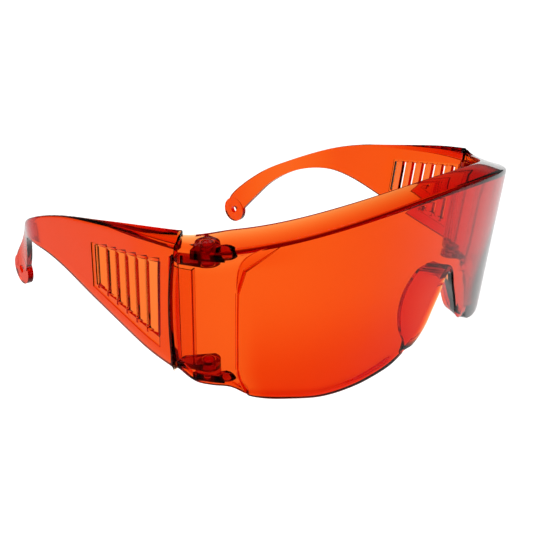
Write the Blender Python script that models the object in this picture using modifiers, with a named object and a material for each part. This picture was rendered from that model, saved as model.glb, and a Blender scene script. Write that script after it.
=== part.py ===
"""Over-spectacle safety glasses: a wrap-round lens with a brow shelf, and two vented folding temples.

The wearer looks along -Y, +Z is up, and the glasses stand on the lens's lower edge and the temple tips.
The origin is under the middle of the object. The wearer's left is at +X.
"""

import math

import bmesh
import bpy
from mathutils import Matrix, Vector

MM = 0.001

# Driving dimensions, in millimetres and degrees
WRAP_HALF_WIDTH = 77.6  # half the lens's width where the plan ellipse is widest
WRAP_DEPTH = 48.5  # from the widest place of the plan ellipse to the front of the lens
WRAP_CENTRE_Y = -32.1
REFERENCE_Z = 39.6  # the height at which the plan ellipse has the size above
LEAN = 0.093  # how far the front parts move rearwards for each millimetre down
TAPER = 0.05  # how far the side walls move inwards for each millimetre down
WALL = 2.2
JOINT_ANGLE = 76.6  # where the side panel ends, round the plan ellipse from the middle of the front
JOINT_GAP = 0.5

BROW_Z = 46.2  # top of the side panels
BROW_ARCH = 9.3  # how much higher the brow is in the middle
SHELF_WIDTH = 9.2
SHELF_END_WIDTH = 4.4
SHELF_RISE = 1.6
SHELF_SIDE_RISE = 1.8  # what the shelf rises more towards the sides
SHELF_TAPER_START = 60.0  # degrees round the ellipse, where the shelf starts to narrow
CREASE_RADIUS = 1.2

NOSE_WALL = 1.9
NOSE_OVERLAP = 0.35  # how far the lens's opening is cut outside the middle of the nose flange's wall
NOSE_END = 0.97  # where the flange ends, as a part of the opening's edge
NOSE_FRONT_INSET = 0.25  # how far the nose flange's front edge lies behind the lens's face

HINGE_X = 67.3  # at HINGE_TOP_Z
HINGE_Y = -47.0
HINGE_TOP_Z = 46.0
LUG_HEIGHT = 2.2
LUG_GAP = 0.3
EYE_RADIUS = 3.3
BORE_RADIUS = 2.0
PIN_RADIUS = 1.7
PIN_HEAD_RADIUS = 2.9
PIN_HEAD_HEIGHT = 0.9
PIN_HEAD_BEVEL = 0.4
PIN_BEVEL = 0.3
PIN_RECESS = 0.5  # how far the pin's end stays below the lug's far side
BORE_OVERRUN = 0.4
LUG_ANGLES = (61.0, 64.0, 67.0, 70.0, 72.5)  # where the lug meets the side panel, round the plan ellipse
# The height of each lens lug's underside, and the side on which the arm lies: above (1) or below (-1)
HINGE_LEVELS = {"upper": (44.4, -1), "lower": (7.6, 1)}

TEMPLE_WALL = 2.2
TEMPLE_X = 77.3
TEMPLE_FLARE_Y = -27.2  # behind this the temples run straight back
TEMPLE_FLARE = 0.0062
TEMPLE_DRAW_IN = 1.8  # how much nearer the temples come over their straight length
TEMPLE_REAR_Y = 76.6
TEMPLE_TAPER_Y = -41.0  # where the side walls' taper starts to fade
TEMPLE_TAPER_LENGTH = 80.0
HOOK_START_Y = 24.0
HOOK_END_Y = 78.0
HOOK_DRAW_IN = 16.2
FLANGE_START_Y = -43.0
FLANGE_END_Y = 8.0
FLANGE_FADE = 1.5  # how quickly the flange sinks into the blade behind the joint
FLANGE_IN = 4.6
FLANGE_UP = 3.4
FLANGE_LIP = 0.7  # height of the square part of the flange's inner edge
TOP_ROUND = 0.5  # how far the blade's rounded top stands above its edge, where there is no flange
JOINT_TO_LAST_Y = 14.0  # keeps the temple's first sections behind one another near the slanting joint
POST_DEPTH = 4.0
POST_INSET = 0.4  # how far the post ends inside each arm
# Corners of the post and of an arm's root, as (x, y) from the temple's outer front edge
POST_PROFILE = ((-3.6, 1.0), (-1.1, 1.0), (-0.9, POST_DEPTH), (-3.0, POST_DEPTH), (-3.9, POST_DEPTH - 1.2))
ARM_ROOT = ((-3.2, 0.2), (-1.1, 1.0), (-1.1, POST_DEPTH), (-6.0, POST_DEPTH))
TONGUE_REACH = 4.6
TONGUE_WALL = 1.4
TONGUE_GAP = 0.4
TONGUE_Z = (14.0, 38.0)

SLOT_COUNT = 6
SLOT_PITCH = 4.65
SLOT_WIDTH = 3.3
SLOT_FIRST_Y = -35.2
SLOT_LEAN = 0.12
SLOT_TOP_Z = (41.3, 39.6)  # of the first and the last slot
SLOT_BOTTOM_Z = (19.0, 26.6)
SLOT_CUT_X = (66.0, 84.0)
PADDLE_CENTRE = (75.88, 6.1)
PADDLE_RADIUS = 6.1
PADDLE_WALL = 2.5
CORD_HOLE_RADIUS = 1.6

# Edges of the temple blade from the joint to the neck of the ear hook, as (y, z)
TEMPLE_LOWER_EDGE = (
    (-44.0, 9.6), (-27.7, 14.2), (-5.9, 21.8), (14.3, 29.0), (29.0, 31.3), (43.0, 29.3), (54.8, 22.9),
    (64.0, 13.6), (70.6, 6.6),
)
TEMPLE_UPPER_EDGE = (
    (-44.0, 47.1), (-29.0, 47.2), (-10.0, 46.2), (10.0, 44.3), (28.0, 40.3), (46.0, 33.7), (60.8, 26.4),
    (76.4, 14.2), (80.4, 6.8),
)
# Lower edge of the lens as (degrees round the ellipse, z)
LENS_LOWER_EDGE = (
    (0.0, 4.4), (15.0, 4.4), (20.0, 3.0), (27.0, 0.9), (36.0, 0.0), (45.0, 1.2), (52.0, 2.3), (56.0, 3.6),
    (60.5, 6.0), (66.0, 6.4), (70.6, 6.9), (73.5, 8.2), (77.0, 10.4),
)
# Half the nose opening, as (x, z) on the lens's face and (x, y, z) on the flange's rear edge, in step
NOSE_FRONT = ((0.0, 29.7), (2.6, 27.5), (4.8, 22.5), (7.2, 18.0), (10.2, 12.2), (13.6, 9.0), (17.6, 7.0))
NOSE_REAR = (
    (0.0, -71.2, 28.5), (5.0, -71.2, 27.4), (10.2, -71.2, 22.6), (12.8, -71.3, 16.8), (14.0, -71.9, 11.6),
    (15.4, -73.4, 9.2), (17.2, -75.2, 7.6),
)
NOSE_CUT_Y = (-95.0, -55.0)
NOSE_FLARE = ((20.0, 5.5), (22.5, 3.6), (26.0, 0.0), (26.0, -4.0))  # the notch's corners below the flange

LENS_COLUMNS = 60
TEMPLE_COLUMNS = 44
NOSE_STEPS = 22
NOSE_CUT_STEPS = 17
ROUND_SIDES = 28


def between(a, b, t):
    """Value t of the way from a to b."""
    return a + (b - a) * t


def soft_step(t):
    """Goes smoothly from 0 to 1 while t does."""
    t = min(max(t, 0.0), 1.0)
    return t * t * (3.0 - 2.0 * t)


def spline(points, u):
    """Point at u, from 0 to 1, of a Catmull-Rom curve through points."""
    last = len(points) - 1
    index = min(int(u * last), last - 1)
    t = u * last - index
    p1 = Vector(points[index])
    p2 = Vector(points[index + 1])
    p0 = Vector(points[index - 1]) if index else p1 * 2 - p2
    p3 = Vector(points[index + 2]) if index + 2 <= last else p2 * 2 - p1
    m1 = (p2 - p0) / 2
    m2 = (p3 - p1) / 2
    return (
        p1 * (2 * t**3 - 3 * t**2 + 1)
        + m1 * (t**3 - 2 * t**2 + t)
        + p2 * (3 * t**2 - 2 * t**3)
        + m2 * (t**3 - t**2)
    )


def slope_at(points, index):
    """Slope of a smooth line at one of its (x, height) points."""
    x0, z0 = points[max(index - 1, 0)]
    x1, z1 = points[min(index + 1, len(points) - 1)]
    return (z1 - z0) / (x1 - x0)


def height_along(points, x):
    """Height at x of a smooth line through (x, height) points."""
    index = sum(1 for point in points[1:-1] if x > point[0])
    x0, z0 = points[index]
    x1, z1 = points[index + 1]
    width = x1 - x0
    t = (x - x0) / width
    return (
        z0 * (2 * t**3 - 3 * t**2 + 1)
        + slope_at(points, index) * width * (t**3 - 2 * t**2 + t)
        + z1 * (3 * t**2 - 2 * t**3)
        + slope_at(points, index + 1) * width * (t**3 - t**2)
    )


def lens_point(angle, z, inset=0.0):
    """Point of the lens's face, angle degrees round from the middle of the front and moved in by inset."""
    drop = REFERENCE_Z - z
    half_width = WRAP_HALF_WIDTH - TAPER * drop
    a = math.radians(angle)
    normal = Vector((math.sin(a) / half_width, -math.cos(a) / WRAP_DEPTH)).normalized()
    x = half_width * math.sin(a) - normal.x * inset
    y = WRAP_CENTRE_Y + LEAN * drop - WRAP_DEPTH * math.cos(a) - normal.y * inset
    return Vector((x, y, z))


def brow_height(angle):
    """Height of the crease between the lens's wall and the brow shelf."""
    return BROW_Z + BROW_ARCH * math.cos(math.radians(angle)) ** 3


def shelf_size(angle):
    """How far in and how far up the brow shelf reaches from the crease."""
    narrowing = (angle - SHELF_TAPER_START) / (JOINT_ANGLE - SHELF_TAPER_START)
    width = between(SHELF_WIDTH, SHELF_END_WIDTH, soft_step(narrowing))
    rise = SHELF_RISE + SHELF_SIDE_RISE * math.sin(math.radians(angle)) ** 2
    return width, rise


def temple_x(y, z):
    """Where the temple's outer face is, at +X."""
    x = TEMPLE_X
    if y < TEMPLE_FLARE_Y:
        x -= TEMPLE_FLARE * (y - TEMPLE_FLARE_Y) ** 2
    else:
        x -= TEMPLE_DRAW_IN * (y - TEMPLE_FLARE_Y) / (TEMPLE_REAR_Y - TEMPLE_FLARE_Y)
    x -= HOOK_DRAW_IN * soft_step((y - HOOK_START_Y) / (HOOK_END_Y - HOOK_START_Y))
    fade = 1.0 - soft_step((y - TEMPLE_TAPER_Y) / TEMPLE_TAPER_LENGTH)
    return x - TAPER * max(REFERENCE_Z - z, 0.0) * fade


def joint_y(z, inset=0.0):
    """Where the temple's front edge stands behind the side panel, inset from the outer face."""
    return lens_point(JOINT_ANGLE, z, inset).y + JOINT_GAP


# The hinge axis leans with the side panel's wall. HINGE_FOOT is where it meets the floor.
AXIS = Vector((TAPER, -LEAN, 1.0)).normalized()
HINGE_FOOT = Vector((HINGE_X, HINGE_Y, HINGE_TOP_Z)) - AXIS * (HINGE_TOP_Z / AXIS.z)


def clear_scene():
    """Removes what a new file starts with."""
    for obj in list(bpy.data.objects):
        bpy.data.objects.remove(obj, do_unlink=True)
    for collection in list(bpy.data.collections):
        bpy.data.collections.remove(collection)


def new_collection(name):
    """Collection under the scene's own."""
    collection = bpy.data.collections.new(name)
    bpy.context.scene.collection.children.link(collection)
    return collection


def plastic(name, color, roughness=0.08):
    """Clear tinted polycarbonate."""
    material = bpy.data.materials.new(name)
    material.use_nodes = True
    shader = material.node_tree.nodes["Principled BSDF"]
    shader.inputs["Base Color"].default_value = (*color, 1.0)
    shader.inputs["Roughness"].default_value = roughness
    shader.inputs["Metallic"].default_value = 0.0
    return material


def add_object(name, bm, collection, material=None, origin=Vector((0.0, 0.0, 0.0))):
    """Object from a mesh in millimetres of world space, with its origin at the given place."""
    bmesh.ops.translate(bm, verts=bm.verts, vec=-origin)
    bmesh.ops.scale(bm, verts=bm.verts, vec=(MM, MM, MM))
    mesh = bpy.data.meshes.new(name)
    bm.to_mesh(mesh)
    bm.free()
    obj = bpy.data.objects.new(name, mesh)
    obj.location = origin * MM
    collection.objects.link(obj)
    if material:
        mesh.materials.append(material)
    return obj


def as_tool(obj):
    """A cutter, or a shape that is joined to another."""
    obj.hide_render = True
    obj.display_type = "WIRE"
    return obj


def boolean(obj, tool, operation):
    """Joins the tool to obj or cuts it out, as the operation says."""
    modifier = obj.modifiers.new(operation.lower() + "_" + tool.name, "BOOLEAN")
    modifier.object = tool
    modifier.operation = operation
    modifier.solver = "EXACT"


def loft(sections):
    """Open surface through sections, which are lists of the same number of points."""
    bm = bmesh.new()
    rows = [[bm.verts.new(point) for point in section] for section in sections]
    for left, right in zip(rows, rows[1:]):
        for index in range(len(left) - 1):
            bm.faces.new((left[index], right[index], right[index + 1], left[index + 1]))
    return bm


def closed_loft(sections):
    """Closed body through closed sections, with a cap at each end."""
    bm = loft([section + section[:1] for section in sections])
    bmesh.ops.remove_doubles(bm, verts=bm.verts, dist=0.0001)
    bmesh.ops.holes_fill(bm, edges=bm.edges)
    bmesh.ops.triangulate(bm, faces=bm.faces)
    bmesh.ops.recalc_face_normals(bm, faces=bm.faces)
    return bm


def hinge_prism(points, bottom, top):
    """Closed prism along the hinge axis between two heights, with ends square to the axis."""
    bm = bmesh.new()
    level = [p - AXIS * (p - HINGE_FOOT).dot(AXIS) for p in points]
    low = [bm.verts.new(p + AXIS * bottom) for p in level]
    high = [bm.verts.new(p + AXIS * top) for p in level]
    bm.faces.new(low[::-1])
    bm.faces.new(high)
    for index in range(len(level)):
        following = (index + 1) % len(level)
        bm.faces.new((low[index], low[following], high[following], high[index]))
    bmesh.ops.recalc_face_normals(bm, faces=bm.faces)
    return bm


def cylinder(radius, centre, direction, length):
    """Closed cylinder whose middle is at centre."""
    bm = bmesh.new()
    turn = direction.to_track_quat("Z", "Y").to_matrix().to_4x4()
    bmesh.ops.create_cone(
        bm,
        cap_ends=True,
        segments=ROUND_SIDES,
        radius1=radius,
        radius2=radius,
        depth=length,
        matrix=Matrix.Translation(centre) @ turn,
    )
    return bm


def on_axis(height):
    """Point of the hinge axis, height along it from the floor."""
    return HINGE_FOOT + AXIS * height


def arm_bottom(lug_bottom, side):
    """Underside of the temple's arm that lies above or below a lens lug."""
    return lug_bottom + side * (LUG_HEIGHT + LUG_GAP)


def lens_section(angle):
    """One upright section of the lens: wall, rounded crease and shelf, then their inner sides."""
    foot = height_along(LENS_LOWER_EDGE, abs(angle))
    crease = brow_height(angle)
    width, rise = shelf_size(abs(angle))
    slope = Vector((width, rise)).normalized()
    round_start = crease - CREASE_RADIUS
    round_in = slope.x * CREASE_RADIUS
    round_end = crease + slope.y * CREASE_RADIUS
    inner_corner = crease - WALL * slope.x + WALL * (1.0 - slope.y) * slope.y / slope.x
    inner_end = inner_corner + (width - WALL) * rise / width
    points = [(0.0, between(foot, round_start, t)) for t in (0.0, 0.35, 0.7, 1.0)]
    for t in (0.35, 0.7, 1.0):
        points.append((round_in * t * t, between(round_start, round_end, 1 - (1 - t) ** 2)))
    points += [(between(round_in, width, t), between(round_end, crease + rise, t)) for t in (0.5, 1.0)]
    points += [(between(width, WALL, t), between(inner_end, inner_corner, t)) for t in (0.0, 0.5, 1.0)]
    points += [(WALL, between(inner_corner, foot, t)) for t in (0.35, 0.7, 1.0)]
    return [lens_point(angle, z, inset) for inset, z in points]


def nose_section(u, inset, outward):
    """Front and rear point of the nose flange, moved outward from the nose."""
    x, z = spline(NOSE_FRONT, u)
    rear = spline(NOSE_REAR, u)
    x_next, z_next = spline(NOSE_FRONT, min(u + 0.01, 1.0))
    x_last, z_last = spline(NOSE_FRONT, max(u - 0.01, 0.0))
    along = Vector((x_next - x_last, z_next - z_last)).normalized()
    away = Vector((-along.y, along.x)) * outward
    angle = math.degrees(math.asin(x / WRAP_HALF_WIDTH))
    front = lens_point(angle, z, inset)
    return Vector((x + away.x, front.y, z + away.y)), Vector((rear.x + away.x, rear.y, rear.z + away.y))


def make_nose_flange(tools):
    """Saddle that rests on the nose: a wall swept from one corner of the opening to the other."""
    sections = []
    for step in range(-NOSE_STEPS, NOSE_STEPS + 1):
        u = NOSE_END * abs(step) / NOSE_STEPS
        side = (step > 0) - (step < 0)
        front, rear = nose_section(u, NOSE_FRONT_INSET, -NOSE_WALL / 2)
        outer_front, outer_rear = nose_section(u, NOSE_FRONT_INSET, NOSE_WALL / 2)
        ring = [between(front, rear, t) for t in (0.0, 0.5, 1.0)]
        ring += [between(outer_rear, outer_front, t) for t in (0.0, 0.5, 1.0)]
        sections.append([Vector((side * p.x, p.y, p.z)) for p in ring])
    return as_tool(add_object("tool_nose_flange", closed_loft(sections), tools))


def make_nose_cutter(tools):
    """Prism that opens the lens between the middles of the nose flange's walls."""
    half = []
    for step in range(NOSE_CUT_STEPS + 1):
        front, _ = nose_section(step / NOSE_CUT_STEPS, 0.0, NOSE_OVERLAP)
        half.append((front.x, front.z))
    half[0] = (0.0, half[0][1])
    half.extend(NOSE_FLARE)
    outline = half + [(-x, z) for x, z in half[:0:-1]]
    bm = bmesh.new()
    front = [bm.verts.new((x, NOSE_CUT_Y[0], z)) for x, z in outline]
    back = [bm.verts.new((x, NOSE_CUT_Y[1], z)) for x, z in outline]
    bm.faces.new(front)
    bm.faces.new(back[::-1])
    for index in range(len(outline)):
        following = (index + 1) % len(outline)
        bm.faces.new((front[index], back[index], back[following], front[following]))
    bmesh.ops.recalc_face_normals(bm, faces=bm.faces)
    return as_tool(add_object("tool_nose_opening", bm, tools))


def make_lens_lug(tools, level, height):
    """Lug inside the side panel, with a round eye on the hinge axis."""
    middle = height + LUG_HEIGHT / 2
    wall_side = [lens_point(angle, middle, WALL * 0.6) for angle in LUG_ANGLES]
    centre = on_axis(middle)
    eye = [
        centre + Vector((math.cos(a), math.sin(a), 0.0)) * EYE_RADIUS
        for a in [math.radians(degrees) for degrees in range(20, 225, 15)]
    ]
    inner = [lens_point(62.0, middle, WALL + 3.2), lens_point(60.0, middle, WALL + 0.4)]
    bm = hinge_prism(wall_side + eye + inner, height, height + LUG_HEIGHT)
    return as_tool(add_object("tool_lens_lug_" + level, bm, tools))


def make_bore_cutter(tools, level, height, side):
    """Cutter for the pin's bore through a lug and its arm. It ends under the brow shelf."""
    middle = height + LUG_HEIGHT / 2 + side * (LUG_HEIGHT + LUG_GAP)
    length = 3 * (LUG_HEIGHT + LUG_GAP) + BORE_OVERRUN
    bm = cylinder(BORE_RADIUS, on_axis(middle), AXIS, length)
    return as_tool(add_object("tool_bore_" + level, bm, tools))


def make_lens(collection, tools, material):
    """Lens, brow shelf, side panels, nose flange and hinge lugs, moulded in one piece."""
    angles = [between(-JOINT_ANGLE, JOINT_ANGLE, step / LENS_COLUMNS) for step in range(LENS_COLUMNS + 1)]
    shell = closed_loft([lens_section(angle) for angle in angles])
    obj = add_object("lens_front", shell, collection, material)
    boolean(obj, make_nose_cutter(tools), "DIFFERENCE")
    boolean(obj, make_nose_flange(tools), "UNION")
    for level, (height, side) in HINGE_LEVELS.items():
        lug = make_lens_lug(tools, level, height)
        bore = make_bore_cutter(tools, level, height, side)
        for tool, operation in ((lug, "UNION"), (bore, "DIFFERENCE")):
            boolean(obj, tool, operation)
            boolean(obj, as_tool(mirrored(tool, tool.name + "_right", tools)), operation)
    return obj


def mirrored(obj, name, collection):
    """Copy of an object on the other side of the glasses."""
    bpy.context.view_layer.update()
    evaluated = obj.evaluated_get(bpy.context.evaluated_depsgraph_get())
    mesh = bpy.data.meshes.new_from_object(evaluated)
    mesh.name = name
    bm = bmesh.new()
    bm.from_mesh(mesh)
    bmesh.ops.scale(bm, verts=bm.verts, vec=(-1.0, 1.0, 1.0))
    bmesh.ops.reverse_faces(bm, faces=bm.faces)
    bm.to_mesh(mesh)
    bm.free()
    copy = bpy.data.objects.new(name, mesh)
    copy.location = (-obj.location.x, obj.location.y, obj.location.z)
    collection.objects.link(copy)
    return copy


def temple_section(u):
    """One closed section of the temple: blade, rounded crease and top flange."""
    lower = spline(TEMPLE_LOWER_EDGE, u)
    upper = spline(TEMPLE_UPPER_EDGE, u)
    along = (upper.x - FLANGE_START_Y) / (FLANGE_END_Y - FLANGE_START_Y)
    flange = (1.0 - min(max(along, 0.0), 1.0)) ** FLANGE_FADE
    reach = between(TEMPLE_WALL, FLANGE_IN, flange)
    rise = between(TOP_ROUND, FLANGE_UP, flange)
    corner = between(-0.4, -1.8, flange)
    outline = [(0.0, t, 0.0) for t in (0.0, 0.25, 0.5, 0.75, 1.0)]
    outline.append((0.5, 1.0, TOP_ROUND))
    outline.append((reach - 0.6, 1.0, rise))
    outline.append((reach, 1.0, between(0.0, FLANGE_UP - FLANGE_LIP, flange)))
    outline.append((reach, 1.0, between(-0.2, FLANGE_UP - 2 * FLANGE_LIP, flange)))
    outline.append((TEMPLE_WALL, 1.0, corner))
    outline.extend((TEMPLE_WALL, t, 0.0) for t in (0.7, 0.35, 0.0))
    placed = []
    for inset, t, lift in outline:
        y = between(lower.x, upper.x, t)
        z = between(lower.y, upper.y, t) + lift
        y = max(y, joint_y(z, inset) + JOINT_TO_LAST_Y * u) if u else joint_y(z, inset)
        placed.append(Vector((temple_x(y, z) - inset, y, z)))
    return placed


def make_temple_arm(tools, level, bottom):
    """Arm from the post at the temple's front edge to its eye on the hinge axis."""
    middle = bottom + LUG_HEIGHT / 2
    centre = on_axis(middle)
    eye = [
        centre + Vector((math.cos(a), math.sin(a), 0.0)) * EYE_RADIUS
        for a in [math.radians(degrees) for degrees in range(165, 346, 15)]
    ]
    y = joint_y(centre.z)
    x = temple_x(y, centre.z)
    root = [Vector((x + dx, y + dy, middle)) for dx, dy in ARM_ROOT]
    bm = hinge_prism(eye + root, bottom, bottom + LUG_HEIGHT)
    return as_tool(add_object("tool_temple_arm_" + level, bm, tools))


def make_post(tools):
    """Post that stiffens the temple's front edge and carries both arms."""
    bottom = arm_bottom(*HINGE_LEVELS["lower"]) + POST_INSET
    top = arm_bottom(*HINGE_LEVELS["upper"]) + LUG_HEIGHT - POST_INSET
    middle = (bottom + top) / 2
    y = joint_y(middle)
    x = temple_x(y, middle)
    outline = [Vector((x + dx, y + dy, middle)) for dx, dy in POST_PROFILE]
    bm = hinge_prism(outline, bottom, top)
    return as_tool(add_object("tool_post", bm, tools))


def make_tongue(tools):
    """Tongue that lies inside the side panel when the temple is open, and stops it there."""
    low, high = TONGUE_Z
    middle = (low + high) / 2
    reach = [JOINT_ANGLE - TONGUE_REACH * t for t in (0.0, 0.35, 0.7, 1.0)]
    outer = [lens_point(angle, middle, WALL + TONGUE_GAP) for angle in reach]
    inner = [lens_point(angle, middle, WALL + TONGUE_GAP + TONGUE_WALL) for angle in reach]
    y = joint_y(middle)
    x = temple_x(y, middle)
    root = [Vector((x - 3.5, y + 2.0, middle)), Vector((x - WALL - TONGUE_GAP, y + 2.0, middle))]
    bm = hinge_prism(outer[::-1] + root[::-1] + inner, low, high)
    return as_tool(add_object("tool_tongue", bm, tools))


def make_slot_cutters(tools):
    """Slanting vent slots, each one a round-ended prism across the blade."""
    cutters = []
    for index in range(SLOT_COUNT):
        y_top = SLOT_FIRST_Y + index * SLOT_PITCH
        z_top = between(*SLOT_TOP_Z, index / (SLOT_COUNT - 1))
        z_bottom = between(*SLOT_BOTTOM_Z, index / (SLOT_COUNT - 1))
        y_bottom = y_top + SLOT_LEAN * (z_top - z_bottom)
        outline = []
        radius = SLOT_WIDTH / 2
        for y, z, first in ((y_top, z_top - radius, 0), (y_bottom, z_bottom + radius, 180)):
            for degrees in range(first, first + 181, 30):
                a = math.radians(degrees)
                outline.append((y + radius * math.cos(a), z + radius * math.sin(a)))
        bm = bmesh.new()
        inner = [bm.verts.new((SLOT_CUT_X[0], y, z)) for y, z in outline]
        outer = [bm.verts.new((SLOT_CUT_X[1], y, z)) for y, z in outline]
        bm.faces.new(inner)
        bm.faces.new(outer[::-1])
        for k in range(len(outline)):
            following = (k + 1) % len(outline)
            bm.faces.new((inner[k], outer[k], outer[following], inner[following]))
        bmesh.ops.recalc_face_normals(bm, faces=bm.faces)
        cutters.append(as_tool(add_object("tool_slot_%d" % (index + 1), bm, tools)))
    return cutters


def paddle_frame():
    """Middle of the paddle in the blade's wall, and the direction across the wall."""
    y, z = PADDLE_CENTRE
    slope = (temple_x(y + 1.0, z) - temple_x(y - 1.0, z)) / 2.0
    normal = Vector((1.0, -slope, 0.0)).normalized()
    return Vector((temple_x(y, z), y, z)) - normal * TEMPLE_WALL / 2, normal


def make_temple(name, collection, tools, material):
    """Left temple: vented blade, top flange, hinge arms, tongue and ear hook with its paddle."""
    sections = [temple_section(step / TEMPLE_COLUMNS) for step in range(TEMPLE_COLUMNS + 1)]
    obj = add_object(name, closed_loft(sections), collection, material)
    centre, normal = paddle_frame()
    paddle = as_tool(add_object("tool_paddle", cylinder(PADDLE_RADIUS, centre, normal, PADDLE_WALL), tools))
    boolean(obj, paddle, "UNION")
    boolean(obj, make_post(tools), "UNION")
    boolean(obj, make_tongue(tools), "UNION")
    for level, (height, side) in HINGE_LEVELS.items():
        boolean(obj, make_temple_arm(tools, level, arm_bottom(height, side)), "UNION")
        boolean(obj, tools.objects["tool_bore_" + level], "DIFFERENCE")
    for cutter in make_slot_cutters(tools):
        boolean(obj, cutter, "DIFFERENCE")
    hole = as_tool(add_object("tool_cord_hole", cylinder(CORD_HOLE_RADIUS, centre, normal, 20.0), tools))
    boolean(obj, hole, "DIFFERENCE")
    return obj


def settle_on_hinge(obj, hinge):
    """Applies an object's modifiers and moves its origin to its hinge axis, under the hinge empty."""
    bpy.context.view_layer.update()
    evaluated = obj.evaluated_get(bpy.context.evaluated_depsgraph_get())
    mesh = bpy.data.meshes.new_from_object(evaluated)
    obj.modifiers.clear()
    obj.data = mesh
    mesh.transform(hinge.matrix_world.inverted() @ obj.matrix_world)
    obj.location = (0.0, 0.0, 0.0)
    obj.parent = hinge


def make_hinge_empty(name, side, collection):
    """Empty on a hinge axis, with its Z along it."""
    empty = bpy.data.objects.new(name, None)
    foot = HINGE_FOOT * MM
    empty.location = (side * foot.x, foot.y, foot.z)
    empty.rotation_mode = "QUATERNION"
    empty.rotation_quaternion = Vector((side * AXIS.x, AXIS.y, AXIS.z)).to_track_quat("Z", "Y")
    collection.objects.link(empty)
    bpy.context.view_layer.update()
    return empty


def pin_mesh():
    """Hinge pin turned from a profile: a head at its origin, a shank and a small bevel at the far end."""
    length = PIN_HEAD_HEIGHT + LUG_GAP + 2 * LUG_HEIGHT + LUG_GAP - PIN_RECESS
    profile = [
        (0.0, length),
        (PIN_RADIUS - PIN_BEVEL, length),
        (PIN_RADIUS, length - PIN_BEVEL),
        (PIN_RADIUS, PIN_HEAD_HEIGHT),
        (PIN_HEAD_RADIUS, PIN_HEAD_HEIGHT),
        (PIN_HEAD_RADIUS, PIN_HEAD_BEVEL),
        (PIN_HEAD_RADIUS - PIN_HEAD_BEVEL, 0.0),
        (0.0, 0.0),
    ]
    bm = bmesh.new()
    verts = [bm.verts.new((r * MM, 0.0, z * MM)) for r, z in profile]
    for first, second in zip(verts, verts[1:]):
        bm.edges.new((first, second))
    mesh = bpy.data.meshes.new("hinge_pin")
    bm.to_mesh(mesh)
    bm.free()
    return mesh


def make_pins(collection, hinges, material):
    """Four equal pins, one for each upper and lower hinge."""
    mesh = pin_mesh()
    mesh.materials.append(material)
    for side, hinge in hinges.items():
        for level, (height, arm_side) in HINGE_LEVELS.items():
            pin = bpy.data.objects.new("hinge_pin_%s_%s" % (level, side), mesh)
            past_arm = LUG_HEIGHT * 1.5 + 2 * LUG_GAP + PIN_HEAD_HEIGHT
            pin.location = (0.0, 0.0, (height + LUG_HEIGHT / 2 + arm_side * past_arm) * MM)
            pin.rotation_euler = (math.pi if arm_side > 0 else 0.0, 0.0, 0.0)
            pin.parent = hinge
            screw = pin.modifiers.new("turn", "SCREW")
            screw.steps = ROUND_SIDES
            screw.render_steps = ROUND_SIDES
            screw.use_merge_vertices = True
            screw.merge_threshold = 0.00001
            collection.objects.link(pin)


def shade(obj):
    """Smooth shading with sharp edges."""
    for polygon in obj.data.polygons:
        polygon.use_smooth = True
    obj.data.set_sharp_from_angle(angle=math.radians(35.0))


def build():
    """Builds the whole object."""
    clear_scene()
    glasses = new_collection("safety_glasses")
    tools = new_collection("cutters")
    lens_plastic = plastic("lens_polycarbonate", (0.95, 0.10, 0.01))
    temple_plastic = plastic("temple_polycarbonate", (0.95, 0.12, 0.015))
    pin_plastic = plastic("pin_polycarbonate", (0.55, 0.03, 0.01), roughness=0.2)
    hinges = {
        "left": make_hinge_empty("hinge_left", 1.0, glasses),
        "right": make_hinge_empty("hinge_right", -1.0, glasses),
    }
    lens = make_lens(glasses, tools, lens_plastic)
    left = make_temple("temple_left", glasses, tools, temple_plastic)
    right = mirrored(left, "temple_right", glasses)
    settle_on_hinge(left, hinges["left"])
    settle_on_hinge(right, hinges["right"])
    make_pins(glasses, hinges, pin_plastic)
    for obj in (lens, left, right):
        shade(obj)


build()
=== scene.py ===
"""Looks for the safety glasses: detailed shells of their moulded parts in clear tinted plastic."""

import math

import bmesh
import bpy
from mathutils import Matrix, Vector


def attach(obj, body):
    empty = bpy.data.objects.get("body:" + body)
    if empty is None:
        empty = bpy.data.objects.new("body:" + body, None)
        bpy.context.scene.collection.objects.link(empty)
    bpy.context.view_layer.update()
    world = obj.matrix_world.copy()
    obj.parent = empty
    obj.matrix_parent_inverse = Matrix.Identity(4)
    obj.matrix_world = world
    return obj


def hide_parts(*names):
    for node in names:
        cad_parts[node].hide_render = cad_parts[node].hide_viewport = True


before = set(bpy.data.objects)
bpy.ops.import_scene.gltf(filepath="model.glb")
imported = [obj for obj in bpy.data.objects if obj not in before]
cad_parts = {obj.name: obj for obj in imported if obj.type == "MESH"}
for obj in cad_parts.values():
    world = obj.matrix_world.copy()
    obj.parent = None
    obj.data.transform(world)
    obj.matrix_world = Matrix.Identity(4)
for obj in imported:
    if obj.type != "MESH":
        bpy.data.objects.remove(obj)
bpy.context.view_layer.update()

MM = 0.001

# All shapes are in millimetres and degrees. A column is a vertical section of the front, named by its
# degrees round the plan ellipse. An inset is a distance inwards from the outer face.

# The front: plan ellipse, its lean and taper, and the wall
WRAP_HALF_WIDTH = 77.6
WRAP_DEPTH = 48.49
WRAP_CENTRE_Y = -32.1
REFERENCE_Z = 39.6  # height where the ellipse has the size above
LEAN = 0.093
TAPER = 0.05
WALL = 2.2
LOWER_WALL = 0.65  # how much thicker the lens is at its lower edge
LOWER_WALL_TOP = 34.0  # height where it starts to thicken
LOWER_WALL_SIDE = 53.0  # column where the extra thickness starts to fade, towards the side panel
LOWER_WALL_FADE = 5.0

# The joint between the front and the temples
JOINT_ANGLE = 76.6
JOINT_GAP = 0.5
JOINT_BOW = 1.8  # degrees that the joint bows back between the hinges
JOINT_BOW_Z = 26.0
JOINT_BOW_REACH = 20.0

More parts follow.
